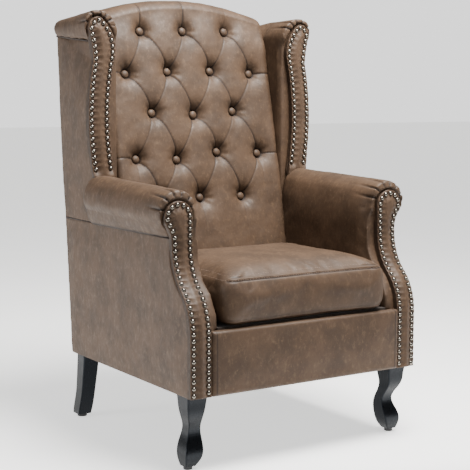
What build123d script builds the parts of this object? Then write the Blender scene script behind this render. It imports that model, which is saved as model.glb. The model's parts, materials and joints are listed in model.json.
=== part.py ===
from build123d import *
import math
import os

os.makedirs("parts", exist_ok=True)

# A wingback armchair: hardwood frame, sprung seat, tufted inside back, scroll arms and wings
# with nailed facings, a loose box cushion and four turned-out legs.
# Millimetres, +Z up, front towards -Y. Origin on the floor, in the middle of the plan.
# Paired pieces are modelled on the +X side and mirrored.

# Overall sizes
overall_height = 1040.0
overall_depth = 660.0
seat_width = 460.0
arm_thickness = 75.5
body_bottom = 166.0
cushion_overhang = 10.0

# Stock thicknesses and clearances
frame_stock = 30.0
post_depth = 45.0
panel_stock = 5.0
backing_stock = 2.0
webbing_stock = 1.5
dust_cloth = 2.0
burlap = 2.0
fit_gap = 0.3

# Seat frame
rail_top = 288.0
block_reach = 52.0
spring_room = 8.0
deck_stock = 11.7

# Arms
arm_top = 602.0
arm_rise = 16.0
roll_radius = 48.0
roll_proud = 30.5
roll_seam_drop = 6.0
roll_start = 150.0
roll_turn = 220.0
skirt_drop = 112.0

# Arm fronts: straight up, then swept back under the roll
sweep_depth = 75.0
sweep_low = 300.0
sweep_high_drop = 122.0
facing_width = 52.0
facing_stock = 10.0
facing_neck_drop = 112.0
facing_head_radius = 35.0
facing_head_drop = 24.5
facing_throat_angle = -26.0
stump_width = 45.0
stump_depth = 50.0

# Wings
wing_reach = 145.0
wing_thickness = 67.5
wing_top_drop = 42.0
wing_frame_drop = 90.0
wing_frame_rail = 45.0
wing_upright = 40.0
wing_roll_proud = 18.5
wing_roll_radius = 30.0
wing_roll_seam_drop = 115.0
wing_rear_drop = 56.0
wing_rear_proud = 6.5
wing_rear_radius = 20.0
wing_rear_seam_drop = 95.0
wing_hip_share = 0.485
wing_hip_proud = 12.5
wing_waist_drop = 158.0
wing_waist_in = 2.0
wing_foot_rise = 8.0

# Wing facings: the outline follows the wing and closes in a leaf-shaped head
wing_facing_width = 54.0
wing_head_in = 19.5
wing_head_drop = 58.0
wing_cheek_out = 10.5
wing_cheek_drop = 85.0
wing_brow_in = 0.5
wing_brow_drop = 63.0
wing_temple_in = 51.5
wing_temple_drop = 95.0
throat_in = 2.0
cheek_drop_share = 0.3
brow_share = 0.7

# Back
rear_rake = 4.43
tuft_rake = 11.5
arch_radius = 700.0
top_pad = 22.0
top_round = 26.0
lip_round = 18.0
back_pad_at_seat = 182.5
top_rail_drop = 150.0
lower_rail_low = 325.0
lower_rail_high = 385.0
strap_width = 50.0
upright_strap_count = 4
cross_strap_count = 4

# Tufting
button_margin = 55.5
lowest_row_rise = 255.0
top_row_drop = 79.3
tuft_height = 28.0
crease_width = 3.0
button_diameter = 21.0
button_dome = 7.0
dimple_mouth = 62.0
back_side_gap = 2.0
row_count = 5
tuft_inset_shares = (0, 0.06, 0.2)
tuft_rise_shares = (0, 0.62, 1)

# Cushion
cushion_back_gap = 4.5
cushion_side_gap = 4.0
cushion_edge = 100.0
cushion_crown = 30.0
cushion_pull = 5.0
cushion_corner = 26.0
corner_growth_share = 0.08
side_rise_shares = (0, 0.15, 0.5, 0.87, 1)
side_inset_shares = (0.12, 0.02, 0, 0.02, 0.08)
crown_rise_shares = (0, 0.5, 0.85, 1)
crown_inset_shares = (0.044, 0.19, 0.41, 0.64)
cover_stock = 2.0

# Apron
apron_stock = 20.0
apron_proud = 5.0
apron_end_gap = 14.0
apron_top = 306.0
apron_round = 8.0

# Legs and glides
leg_top_inset = 30.5
leg_top_setback = 47.0
front_leg_width = 50.0
rear_leg_width = 41.0
rear_leg_inset = 26.0
rear_leg_from_back = 42.0
leg_corner = 4.0
front_glide_diameter = 20.0
rear_glide_diameter = 24.0
glide_height = 8.0
bolt_diameter = 8.0
bolt_in_leg = 40.0
glide_edge = 1.0
front_leg_shares = ((1, 1, 0, 0), (0.94, 0.965, 0, 0), (0.82, 0.89, 0, 0.02), (0.61, 0.65, -0.07, 0.16),
                    (0.46, 0.62, -0.16, 0.36), (0.26, 0.85, -0.06, 0.27), (0.12, 0.81, 0.01, 0.21),
                    (0.025, 0.58, 0.07, 0.22), (0, 0.5, 0.09, 0.22))
rear_leg_shares = ((1, 1, 0, 0), (0.94, 1, 0, 0), (0.63, 0.95, 0, 0.2), (0.29, 0.9, 0, 0.52),
                   (0.025, 0.86, 0, 0.9), (0, 0.84, 0, 0.93))

# Springs
spring_count = 5
spring_wire = 4.0
spring_half_width = 22.0
spring_pitch = 28.0
spring_bend = 12.0
clip_width = 24.0
clip_length = 22.0
clip_sheet = 1.2

# Nail heads
nail_diameter = 9.8
nail_height = 3.4
nail_pitch = 14.4
nail_inset = 7.8
nail_lift = 0.15
samples_per_nail = 20

# Places worked out from the sizes above
arm_inner = seat_width / 2
half_width = arm_inner + arm_thickness
frame_out = half_width - panel_stock
frame_in = frame_out - frame_stock
backing_in = frame_in - backing_stock
front_y = cushion_overhang - overall_depth / 2
facing_back = facing_stock
frame_bottom = body_bottom + dust_cloth
side_rail_top = rail_top + spring_room
burlap_top = side_rail_top + burlap
deck_top = burlap_top + deck_stock
cushion_bottom = deck_top + fit_gap
roll_x = half_width + roll_proud - roll_radius
roll_z = arm_top - roll_radius
arm_base = roll_z - roll_radius - roll_seam_drop
arm_rail_low = arm_base - frame_stock
skirt_top = arm_top - skirt_drop
sweep_high = arm_top - sweep_high_drop
facing_neck = arm_top - facing_neck_drop
rear_slope = math.tan(math.radians(rear_rake))
tuft_slope = math.tan(math.radians(tuft_rake))
rear_foot_y = overall_depth / 2 - (overall_height - top_pad - body_bottom) * rear_slope
wing_y = rear_foot_y - wing_reach
wing_frame_y = wing_y + facing_stock
wing_inner = half_width - wing_thickness
wing_waist = half_width - wing_waist_in
wing_roll_out = half_width + wing_roll_proud
wing_rear_out = half_width + wing_rear_proud
wing_top = overall_height - wing_top_drop
wing_rear_top = overall_height - wing_rear_drop
wing_frame_top = overall_height - wing_frame_drop
wing_roll_seam = overall_height - wing_roll_seam_drop
wing_rear_seam = overall_height - wing_rear_seam_drop
wing_foot_z = arm_top + wing_foot_rise
wing_waist_z = overall_height - wing_waist_drop
wing_hip_z = wing_foot_z + (wing_waist_z - wing_foot_z) * wing_hip_share
top_rail_low = overall_height - top_rail_drop
arch_z = overall_height - arch_radius
crest_radius = arch_radius - top_pad
apron_back = front_y + apron_stock - apron_proud
rail_back = apron_back + frame_stock
stump_in = frame_out - stump_width
far = overall_height + overall_depth


def rear_y(z, inset=0):
    """Place of the raked rear face at a height, moved forward by inset."""
    return rear_foot_y + (z - body_bottom) * rear_slope - inset


def frame_y(z):
    """Front of the raked back frame at a height."""
    return rear_y(z, panel_stock + post_depth)


def pad_rear_y(z):
    """Rear of the inside back pad, in front of two layers of webbing."""
    return frame_y(z) - 2 * webbing_stock


def tuft_y(z):
    """Place of the creases of the tufted face at a height."""
    return rear_y(burlap_top, back_pad_at_seat) + (z - burlap_top) * tuft_slope


def arch_height(x, radius):
    """Height of the arched top at x."""
    return arch_z + math.sqrt(radius ** 2 - x ** 2)


def side_quad(low, high, front, back):
    """Sketch in the YZ plane between two heights and two side lines."""
    with BuildLine() as outline:
        Polyline((front(low), low), (back(low), low), (back(high), high), (front(high), high), close=True)
    make_face(outline.edges())


def sweep_line(shift, low, high):
    """Side line of the arm front, moved back by shift."""
    near, deep = front_y + shift, front_y + shift + sweep_depth
    middle = ((near + deep) / 2, (sweep_low + sweep_high) / 2)
    Line((near, low), (near, sweep_low))
    TangentArc((near, sweep_low), middle, tangent=(0, 1))
    TangentArc((deep, sweep_high), middle, tangent=(0, -1))
    Line((deep, sweep_high), (deep, high))


def swept_band(near_shift, far_shift, low, high):
    """Sketch in the YZ plane between two moved copies of the arm front line."""
    with BuildLine() as outline:
        sweep_line(near_shift, low, high)
        sweep_line(far_shift, low, high)
        Line((front_y + near_shift, low), (front_y + far_shift, low))
        Line((front_y + near_shift + sweep_depth, high), (front_y + far_shift + sweep_depth, high))
    make_face(outline.edges())


def box_between(low, high, mode=Mode.ADD):
    """Box from its lowest corner to its highest."""
    size = [high[i] - low[i] for i in range(3)]
    with Locations(tuple((low[i] + high[i]) / 2 for i in range(3))):
        Box(*size, mode=mode)


def domed_head(diameter, height):
    """Cap of a sphere standing on the XY plane."""
    radius = (diameter ** 2 / 4 + height ** 2) / (2 * height)
    with Locations((0, 0, height - radius)):
        Sphere(radius)
    split(bisect_by=Plane.XY)


# Seat frame
with BuildPart() as front_rail:
    box_between((-stump_in, apron_back, frame_bottom), (stump_in, rail_back, rail_top))

with BuildPart() as rear_rail:
    with BuildSketch(Plane.YZ):
        side_quad(frame_bottom, rail_top, lambda z: rear_y(z, panel_stock + frame_stock),
                  lambda z: rear_y(z, panel_stock))
    extrude(amount=frame_in, both=True)

with BuildPart() as arm_stump:
    box_between((stump_in, front_y, frame_bottom), (frame_out, wing_y, arm_rail_low))
    with BuildSketch(Plane.YZ):
        swept_band(facing_back, facing_back + stump_depth, 0, far)
    extrude(amount=far, mode=Mode.INTERSECT)

with BuildPart() as side_rail:
    with BuildSketch(Plane.YZ.offset(frame_in)):
        side_quad(frame_bottom, side_rail_top, lambda z: front_y + facing_back + stump_depth, frame_y)
    extrude(amount=frame_stock)

with BuildPart() as back_post:
    with BuildSketch(Plane.YZ.offset(frame_in)):
        side_quad(frame_bottom, wing_frame_top, frame_y, lambda z: rear_y(z, panel_stock))
    extrude(amount=frame_stock)

with BuildPart() as arm_rail:
    with BuildSketch(Plane.YZ.offset(frame_in)):
        side_quad(arm_rail_low, arm_base, lambda z: front_y + facing_back + sweep_depth, frame_y)
    extrude(amount=frame_stock)

with BuildPart() as wing_post:
    box_between((frame_in, wing_frame_y, arm_base),
                (frame_out, wing_frame_y + wing_upright, wing_frame_top))

with BuildPart() as wing_rail:
    with BuildSketch(Plane.YZ.offset(frame_in)):
        side_quad(wing_frame_top - wing_frame_rail, wing_frame_top,
                  lambda z: wing_frame_y + wing_upright, frame_y)
    extrude(amount=frame_stock)

block_low = frame_bottom + frame_stock
block_high = rail_top - frame_stock
with BuildPart() as corner_blocks:
    stump_rear = front_y + facing_back + stump_depth
    rear_rail_y = rear_y(block_high, panel_stock + frame_stock)
    for side in (-1, 1):
        with BuildSketch(Plane.XY.offset(block_low)):
            with BuildLine():
                Polyline((side * (stump_in - block_reach), rail_back), (side * stump_in, rail_back),
                         (side * stump_in, stump_rear), (side * frame_in, stump_rear),
                         (side * frame_in, stump_rear + block_reach), close=True)
            make_face()
            with BuildLine():
                Polyline((side * frame_in, rear_rail_y - block_reach),
                         (side * frame_in, rear_rail_y + frame_stock / 2),
                         (side * (frame_in - block_reach), rear_rail_y + frame_stock / 2),
                         (side * (frame_in - block_reach), rear_rail_y), close=True)
            make_face()
    extrude(amount=block_high - block_low)
    add(rear_rail.part, mode=Mode.SUBTRACT)
    add(back_post.part, mode=Mode.SUBTRACT)
    mirror(back_post.part, about=Plane.YZ, mode=Mode.SUBTRACT)

# Back frame
with BuildPart() as back_top_rail:
    with BuildSketch(Plane.XZ):
        with BuildLine():
            Line((-wing_inner, wing_frame_top), (-wing_inner, arch_height(wing_inner, crest_radius)))
            ThreePointArc((-wing_inner, arch_height(wing_inner, crest_radius)),
                          (0, arch_height(0, crest_radius)),
                          (wing_inner, arch_height(wing_inner, crest_radius)))
            Line((wing_inner, arch_height(wing_inner, crest_radius)), (wing_inner, wing_frame_top))
            Polyline((wing_inner, wing_frame_top), (frame_in, wing_frame_top), (frame_in, top_rail_low),
                     (-frame_in, top_rail_low), (-frame_in, wing_frame_top),
                     (-wing_inner, wing_frame_top))
        make_face()
    extrude(amount=far, both=True)
    with BuildSketch(Plane.YZ):
        side_quad(frame_bottom, far, frame_y, lambda z: rear_y(z, panel_stock))
    extrude(amount=far, both=True, mode=Mode.INTERSECT)

with BuildPart() as back_lower_rail:
    with BuildSketch(Plane.YZ):
        side_quad(lower_rail_low, lower_rail_high, frame_y,
                  lambda z: rear_y(z, panel_stock + post_depth - frame_stock))
    extrude(amount=frame_in, both=True)

# Webbing of the back: upright straps nailed on the rails, cross straps in front of them
strap_low = lower_rail_low + frame_stock / 2
strap_high = top_rail_low + wing_frame_rail
with BuildPart() as back_webbing:
    strap_step = 2 * wing_inner / upright_strap_count
    for place in range(upright_strap_count):
        middle = (place + 1 / 2) * strap_step - wing_inner
        with BuildSketch(Plane.YZ.offset(middle - strap_width / 2)):
            side_quad(strap_low, strap_high, lambda z: frame_y(z) - webbing_stock, frame_y)
        extrude(amount=strap_width)
with BuildPart() as back_cross_webbing:
    cross_step = (strap_high - lower_rail_high) / cross_strap_count
    for place in range(cross_strap_count):
        low = lower_rail_high + place * cross_step
        with BuildSketch(Plane.YZ):
            side_quad(low, low + strap_width, pad_rear_y, lambda z: frame_y(z) - webbing_stock)
        extrude(amount=arm_inner, both=True)

# Seat springs: one sinuous wire per spring, its end bars held in folded clips
spring_front = rail_back - clip_length
spring_rear = rear_y(rail_top, panel_stock + frame_stock) + clip_length
wire_z = rail_top + clip_sheet + spring_wire / 2
half_loops = 2 * round((spring_rear - spring_front - spring_wire) / spring_pitch / 2) + 1
loop_pitch = (spring_rear - spring_front - spring_wire) / half_loops
spring_xs = [(place - (spring_count - 1) / 2) * seat_width / spring_count
             for place in range(spring_count)]
meander = []
for row in range(half_loops + 1):
    turn = spring_half_width if row % 2 else -spring_half_width
    y = spring_front + spring_wire / 2 + row * loop_pitch
    meander += [(-turn, y, wire_z), (turn, y, wire_z)]
with BuildPart() as one_spring:
    with BuildLine() as wire_path:
        FilletPolyline(*meander, radius=spring_bend)
    with BuildSketch(Plane(wire_path.wire() @ 0, z_dir=wire_path.wire() % 0)):
        Circle(spring_wire / 2)
    sweep()
with BuildPart() as seat_springs:
    with Locations(*[(x, 0, 0) for x in spring_xs]):
        add(one_spring.part)

clip_height = spring_wire + 2 * clip_sheet
with BuildPart() as spring_clips:
    for x in spring_xs:
        for mouth, edge in ((1, spring_front), (-1, spring_rear)):
            outer = edge - mouth * clip_sheet
            inner = edge + mouth * (clip_length - clip_sheet)
            box_between((x - clip_width / 2, min(outer, inner), rail_top),
                        (x + clip_width / 2, max(outer, inner), rail_top + clip_height))
            box_between((x - clip_width / 2, min(edge, inner), rail_top + clip_sheet),
                        (x + clip_width / 2, max(edge, inner), rail_top + clip_sheet + spring_wire),
                        mode=Mode.SUBTRACT)

# Arms: one padded form rolls over the arm rail and lines the inner side
def arm_section(y, rise):
    """Cross-section of the padded arm in the XZ plane at y, its roll raised by rise."""
    with BuildSketch(Plane.XZ.offset(-y)) as section:
        with BuildLine():
            Line((backing_in, burlap_top), (arm_inner, burlap_top))
            Line((arm_inner, burlap_top), (arm_inner, skirt_top))
            angle = math.radians(roll_start)
            crook = (roll_x + roll_radius * math.cos(angle),
                     roll_z + rise + roll_radius * math.sin(angle))
            TangentArc((arm_inner, skirt_top), crook, tangent=(0, 1))
            roll = CenterArc((roll_x, roll_z + rise), roll_radius, roll_start, -roll_turn)
            Line(roll @ 1, (half_width, arm_base))
            Line((half_width, arm_base), (backing_in, arm_base))
            Line((backing_in, arm_base), (backing_in, burlap_top))
        make_face()
    return section.sketch


with BuildPart() as arm_pad:
    loft([arm_section(front_y, 0), arm_section(wing_frame_y, arm_rise)], ruled=True)
    with BuildSketch(Plane.YZ.offset(arm_inner)):
        side_quad(burlap_top, arm_base, lambda z: wing_y, frame_y)
    extrude(amount=backing_in - arm_inner)
    with BuildSketch(Plane.YZ):
        swept_band(-far, facing_back, -far, far)
    extrude(amount=far, mode=Mode.SUBTRACT)
    add(arm_stump.part, mode=Mode.SUBTRACT)
    box_between((0, front_y - apron_stock, 0),
                (half_width - facing_width - apron_end_gap + fit_gap, apron_back, apron_top),
                mode=Mode.SUBTRACT)


def arm_facing_line(inset, low):
    """Outline of an arm facing, drawn in by inset, open at the bottom."""
    outer, inner = half_width - inset, half_width - facing_width + inset
    radius = facing_head_radius - inset
    head_z = arm_top - facing_head_drop - facing_head_radius
    angle = math.radians(facing_throat_angle)
    throat = (roll_x + radius * math.cos(angle), head_z + radius * math.sin(angle))
    cheek = (roll_x - radius, head_z)
    Line((outer, low), (outer, facing_neck))
    TangentArc((outer, facing_neck), throat, tangent=(0, 1))
    ThreePointArc(throat, (roll_x, head_z + radius), cheek)
    TangentArc((inner, facing_neck), cheek, tangent=(0, 1))
    Line((inner, facing_neck), (inner, low))
    return outer, inner


with BuildPart() as arm_facing:
    with BuildSketch(Plane.XZ):
        with BuildLine():
            ends = arm_facing_line(0, body_bottom)
            Line((ends[0], body_bottom), (ends[1], body_bottom))
        make_face()
    extrude(amount=far, both=True)
    with BuildSketch(Plane.YZ):
        swept_band(0, facing_back, 0, far)
    extrude(amount=far, both=True, mode=Mode.INTERSECT)

with BuildPart() as arm_backing:
    with BuildSketch(Plane.YZ.offset(backing_in)):
        side_quad(burlap_top, arm_base, lambda z: front_y, frame_y)
    extrude(amount=backing_stock)
    with BuildSketch(Plane.YZ):
        swept_band(-far, facing_back + stump_depth, -far, far)
    extrude(amount=far, mode=Mode.SUBTRACT)

with BuildPart() as side_panel:
    with BuildSketch(Plane.YZ.offset(frame_out)):
        side_quad(body_bottom, arm_base, lambda z: front_y, lambda z: rear_y(z, panel_stock))
    extrude(amount=panel_stock)
    with BuildSketch(Plane.YZ):
        swept_band(-far, facing_back, -far, far)
    extrude(amount=far, mode=Mode.SUBTRACT)


# Wings: inner pad with a roll along the top, a nailed facing and a hollow-backed outer panel
def wing_roll(y, top, out, radius, seam):
    """Cross-section of the roll on top of a wing, in the XZ plane at y."""
    with BuildSketch(Plane.XZ.offset(-y)) as section:
        with BuildLine():
            crest = (out - radius, top)
            TangentArc((wing_inner, wing_frame_top), crest, tangent=(0, 1))
            CenterArc((out - radius, top - radius), radius, 90, -90)
            TangentArc((out, top - radius), (wing_waist, seam), tangent=(0, -1))
            Polyline((wing_waist, seam), (frame_out, seam), (frame_out, wing_frame_top),
                     (wing_inner, wing_frame_top))
        make_face()
    return section.sketch


with BuildPart() as wing_pad:
    loft([wing_roll(wing_frame_y, wing_top, wing_roll_out, wing_roll_radius, wing_roll_seam),
          wing_roll(overall_depth / 2, wing_rear_top, wing_rear_out, wing_rear_radius,
                    wing_rear_seam)], ruled=True)
    with BuildSketch(Plane.YZ):
        side_quad(0, far, rear_y, lambda z: far)
    extrude(amount=far, mode=Mode.SUBTRACT)
    with BuildSketch(Plane.YZ.offset(wing_inner)):
        side_quad(arm_base, wing_frame_top, lambda z: wing_frame_y, frame_y)
    extrude(amount=backing_in - wing_inner)

with BuildPart() as wing_backing:
    with BuildSketch(Plane.YZ.offset(backing_in)):
        side_quad(arm_base, wing_frame_top, lambda z: wing_frame_y, frame_y)
    extrude(amount=backing_stock)

with BuildPart() as wing_panel:
    with BuildSketch(Plane.XZ.offset(-wing_frame_y)):
        with BuildLine():
            Line((frame_out, arm_base), (half_width, arm_base))
            Line((half_width, arm_base), (half_width, wing_foot_z))
            ThreePointArc((half_width, wing_foot_z), (half_width + wing_hip_proud, wing_hip_z),
                          (wing_waist, wing_waist_z))
            Line((wing_waist, wing_waist_z), (wing_waist, wing_frame_top))
            Line((wing_waist, wing_frame_top), (frame_out, wing_frame_top))
            Line((frame_out, wing_frame_top), (frame_out, arm_base))
        make_face()
    with BuildSketch(Plane.XZ.offset(-overall_depth / 2)):
        with BuildLine():
            Polyline((frame_out, arm_base), (half_width, arm_base), (half_width, wing_foot_z),
                     (half_width, wing_waist_z), (half_width, wing_frame_top),
                     (frame_out, wing_frame_top), close=True)
        make_face()
    loft(ruled=True)
    with BuildSketch(Plane.YZ):
        side_quad(0, far, lambda z: rear_y(z, panel_stock), lambda z: far)
    extrude(amount=far, mode=Mode.SUBTRACT)
    add(wing_pad.part, mode=Mode.SUBTRACT)


def wing_facing_line(inset, low):
    """Outline of a wing facing, drawn in by inset, open at the bottom."""
    outer, inner = half_width - inset, half_width - wing_facing_width + inset
    waist_out, waist_in = wing_waist - inset, wing_waist - wing_facing_width + inset
    top = (half_width - wing_head_in, overall_height - wing_head_drop - inset)
    cheek = (half_width + wing_cheek_out - inset,
             overall_height - wing_cheek_drop - inset * cheek_drop_share)
    throat = ((waist_out + cheek[0]) / 2 - throat_in, (wing_waist_z + cheek[1]) / 2)
    temple = (half_width - wing_temple_in + inset,
              overall_height - wing_temple_drop - inset * cheek_drop_share)
    brow = (half_width - wing_brow_in - inset * brow_share, overall_height - wing_brow_drop - inset)
    Line((outer, low), (outer, wing_foot_z))
    ThreePointArc((outer, wing_foot_z), (outer + wing_hip_proud, wing_hip_z), (waist_out, wing_waist_z))
    ThreePointArc((waist_out, wing_waist_z), throat, cheek)
    ThreePointArc(cheek, brow, top)
    ThreePointArc(top, temple, (waist_in, wing_waist_z))
    ThreePointArc((waist_in, wing_waist_z), (inner + wing_hip_proud, wing_hip_z), (inner, wing_foot_z))
    Line((inner, wing_foot_z), (inner, low))
    return outer, inner


with BuildPart() as wing_facing:
    facing_low = arm_top + arm_rise - roll_radius
    with BuildSketch(Plane.XZ.offset(-wing_y)):
        with BuildLine():
            ends = wing_facing_line(0, facing_low)
            Line((ends[0], facing_low), (ends[1], facing_low))
        make_face()
    extrude(amount=-facing_stock)
    add(arm_pad.part, mode=Mode.SUBTRACT)

# Outer back
with BuildPart() as back_panel:
    with BuildSketch(Plane.XZ):
        with BuildLine():
            Polyline((-wing_inner, arch_height(wing_inner, crest_radius)), (-wing_inner, wing_frame_top),
                     (-half_width, wing_frame_top), (-half_width, body_bottom),
                     (half_width, body_bottom), (half_width, wing_frame_top),
                     (wing_inner, wing_frame_top), (wing_inner, arch_height(wing_inner, crest_radius)))
            ThreePointArc((-wing_inner, arch_height(wing_inner, crest_radius)),
                          (0, arch_height(0, crest_radius)),
                          (wing_inner, arch_height(wing_inner, crest_radius)))
        make_face()
    extrude(amount=far, both=True)
    with BuildSketch(Plane.YZ):
        side_quad(body_bottom, far, lambda z: rear_y(z, panel_stock), rear_y)
    extrude(amount=far, both=True, mode=Mode.INTERSECT)
    for flip in (False, True):
        cutter = mirror(wing_pad.part, about=Plane.YZ, mode=Mode.PRIVATE) if flip else wing_pad.part
        add(cutter, mode=Mode.SUBTRACT)

# Tufted inside back: a wedge of padding with a pillow between each set of buttons
tuft_plane = Plane(origin=(0, tuft_y(burlap_top), burlap_top), x_dir=(1, 0, 0),
                   z_dir=(0, -math.cos(math.radians(tuft_rake)), math.sin(math.radians(tuft_rake))))
back_half = wing_inner - back_side_gap
column_pitch = (back_half - button_margin) * 2 / 3


def tuft_v(z):
    """Distance up the raked face to a height."""
    return (z - burlap_top) / math.cos(math.radians(tuft_rake))


row_pitch = (tuft_v(overall_height - top_row_drop) - lowest_row_rise) / (row_count - 1)


def row_v(row):
    return lowest_row_rise + row * row_pitch


def row_columns(row):
    """Columns of the buttons in a row, in column pitches: three, then four between them."""
    return (-1, 0, 1) if row % 2 == 0 else (-3 / 2, -1 / 2, 1 / 2, 3 / 2)


def place(column, row):
    return (column * column_pitch, row_v(row))


def tuft_cells():
    """Outlines of the pillows, from the seat up to the arched top."""
    cells = []
    last = row_count - 1
    for row in range(1, last):
        for column in row_columns(row + 1):
            if abs(column) + 1 / 2 <= max(row_columns(row)):
                cells.append([place(column - 1 / 2, row), place(column, row - 1),
                              place(column + 1 / 2, row), place(column, row + 1)])
    for row in range(2, last, 2):
        for side in (-1, 1):
            edge = side * back_half
            cells.append([place(side, row), place(side * 3 / 2, row - 1), (edge, row_v(row - 1)),
                          (edge, row_v(row + 1)), place(side * 3 / 2, row + 1)])
    for row, beyond in ((0, 1), (last, last - 1)):
        for left in (-1, 0):
            right = left + 1
            cells.append([place(left, row), place(left + 1 / 2, beyond), place(right, row),
                          (right * column_pitch, end_v(row, right * column_pitch)),
                          (left * column_pitch, end_v(row, left * column_pitch))])
        for side in (-1, 1):
            edge = side * back_half
            cells.append([place(side, row), place(side * 3 / 2, beyond), (edge, row_v(beyond)),
                          (edge, end_v(row, edge)),
                          (side * column_pitch, end_v(row, side * column_pitch))])
    return cells


def end_v(row, x):
    """Where a pleat running off the first or last row ends."""
    if row == 0:
        return tuft_v(deck_top + fit_gap + top_pad / 2)
    return tuft_v(arch_height(x, arch_radius) - top_round)


with BuildPart() as back_hollow:
    with BuildSketch(Plane.YZ):
        side_quad(0, overall_height, pad_rear_y, lambda z: far)
    extrude(amount=far, both=True)
    with BuildSketch(Plane.XZ):
        with Locations((0, arch_z)):
            Circle(crest_radius)
        with Locations((0, arch_z - arch_radius)):
            Rectangle(far, 2 * arch_radius)
    extrude(amount=far, both=True, mode=Mode.INTERSECT)

with BuildPart() as inside_back:
    with BuildSketch(Plane.YZ):
        side_quad(burlap_top, overall_height, tuft_y, rear_y)
    extrude(amount=back_half, both=True)
    with BuildSketch(Plane.XZ):
        with Locations((0, arch_z)):
            Circle(arch_radius)
    extrude(amount=far, both=True, mode=Mode.INTERSECT)
    fillet(edges().filter_by(GeomType.ELLIPSE).sort_by(Axis.Y)[0], radius=top_round)
    fillet(edges().filter_by(GeomType.ELLIPSE).sort_by(Axis.Y)[-1], radius=lip_round)
    add(back_hollow.part, mode=Mode.SUBTRACT)
    for outline in tuft_cells():
        for inset_share, rise_share in zip(tuft_inset_shares, tuft_rise_shares):
            with BuildSketch(tuft_plane.offset(rise_share * tuft_height)):
                with BuildLine():
                    Polyline(*outline, close=True)
                make_face()
                offset(amount=-crease_width / 2 - inset_share * column_pitch,
                       kind=Kind.INTERSECTION, mode=Mode.REPLACE)
        loft()
    button_places = [tuft_plane.location * Location((*place(column, row), 0))
                     for row in range(row_count) for column in row_columns(row)]
    with Locations(*button_places):
        Cone(button_diameter / 2 + fit_gap, dimple_mouth / 2, tuft_height,
             align=(Align.CENTER, Align.CENTER, Align.MIN), mode=Mode.SUBTRACT)
    add(arm_pad.part, mode=Mode.SUBTRACT)
    mirror(arm_pad.part, about=Plane.YZ, mode=Mode.SUBTRACT)

with BuildPart() as one_button:
    domed_head(button_diameter, button_dome)
with BuildPart() as back_buttons:
    with Locations(*button_places):
        add(one_button.part)

# Seat deck and the cloths above and below the frame
with BuildPart() as spring_cover:
    with BuildSketch(Plane.YZ):
        side_quad(side_rail_top, burlap_top, lambda z: apron_back + frame_stock / 2,
                  lambda z: rear_y(z, panel_stock + frame_stock / 2))
    extrude(amount=frame_in + frame_stock / 2, both=True)
    for blocker in (arm_stump, back_post):
        add(blocker.part, mode=Mode.SUBTRACT)
        mirror(blocker.part, about=Plane.YZ, mode=Mode.SUBTRACT)

with BuildPart() as seat_deck:
    deck_rear = tuft_y(burlap_top) - fit_gap
    box_between((fit_gap - arm_inner, apron_back + fit_gap, burlap_top),
                (arm_inner - fit_gap, deck_rear, deck_top))

with BuildPart() as apron:
    apron_half = half_width - facing_width - apron_end_gap
    box_between((-apron_half, front_y - apron_proud, body_bottom), (apron_half, apron_back, apron_top))
    front_face = faces().sort_by(Axis.Y)[0]
    fillet(front_face.edges(), radius=apron_round)

# Loose cushion: boxed sides drawn in between the corners, crowned top
cushion_half = arm_inner - cushion_side_gap
cushion_rear = tuft_y(cushion_bottom) - tuft_height - cushion_back_gap
cushion_depth = cushion_rear + overall_depth / 2
cushion_y = (cushion_depth - overall_depth) / 2
crown_run = min(cushion_half, cushion_depth / 2)


def cushion_plan(z, inset):
    """Outline of the cushion at a height, its sides pulled in between the corners."""
    half_x, half_y = cushion_half - inset, cushion_depth / 2 - inset
    with BuildSketch(Plane.XY.offset(z)) as plan:
        with BuildLine():
            for sx, sy, tx, ty in ((-1, -1, 1, -1), (1, -1, 1, 1), (1, 1, -1, 1), (-1, 1, -1, -1)):
                middle = ((sx + tx) / 2 * (half_x - cushion_pull),
                          cushion_y + (sy + ty) / 2 * (half_y - cushion_pull))
                ThreePointArc((sx * half_x, cushion_y + sy * half_y), middle,
                              (tx * half_x, cushion_y + ty * half_y))
        make_face()
        fillet(vertices(), radius=cushion_corner + inset * corner_growth_share)
    return plan.sketch


def cushion_form(thin):
    """Cushion shape, made smaller all over by thin."""
    low, edge = cushion_bottom + thin, cushion_edge - 2 * thin
    loft([cushion_plan(low + rise_share * edge, thin + inset_share * cushion_edge)
          for rise_share, inset_share in zip(side_rise_shares, side_inset_shares)])
    loft([cushion_plan(low + edge + rise_share * cushion_crown, thin + inset_share * crown_run)
          for rise_share, inset_share in zip(crown_rise_shares, crown_inset_shares)])


with BuildPart() as cushion_hollow:
    cushion_form(cover_stock)
with BuildPart() as cushion_cover:
    cushion_form(0)
    add(cushion_hollow.part, mode=Mode.SUBTRACT)
with BuildPart() as cushion_core:
    cushion_form(cover_stock + fit_gap)

# Legs, bolts and glides
leg_height = frame_bottom - glide_height
front_leg_x, front_leg_y = half_width - leg_top_inset, front_y + leg_top_setback
rear_leg_x, rear_leg_y = half_width - rear_leg_inset, rear_y(frame_bottom, rear_leg_from_back)


def shaped_leg(x, y, width, shares):
    """Square leg through sections given as shares: height, width, outwards, backwards."""
    outlines = []
    for height_share, width_share, out_share, back_share in shares:
        section = Plane((x + out_share * width, y + back_share * width,
                         glide_height + height_share * leg_height))
        with BuildSketch(section) as outline:
            RectangleRounded(width * width_share, width * width_share, leg_corner * width_share)
        outlines.append(outline.sketch)
    loft(outlines)


with BuildPart() as front_leg:
    shaped_leg(front_leg_x, front_leg_y, front_leg_width, front_leg_shares)
with BuildPart() as rear_leg:
    shaped_leg(rear_leg_x, rear_leg_y, rear_leg_width, rear_leg_shares)

leg_tops = [(front_leg_x, front_leg_y, front_leg_width), (rear_leg_x, rear_leg_y, rear_leg_width)]
with BuildPart() as leg_bolts:
    for x, y, width in leg_tops:
        with Locations((-x, y, frame_bottom), (x, y, frame_bottom)):
            Cylinder(bolt_diameter / 2, 2 * bolt_in_leg)

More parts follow.
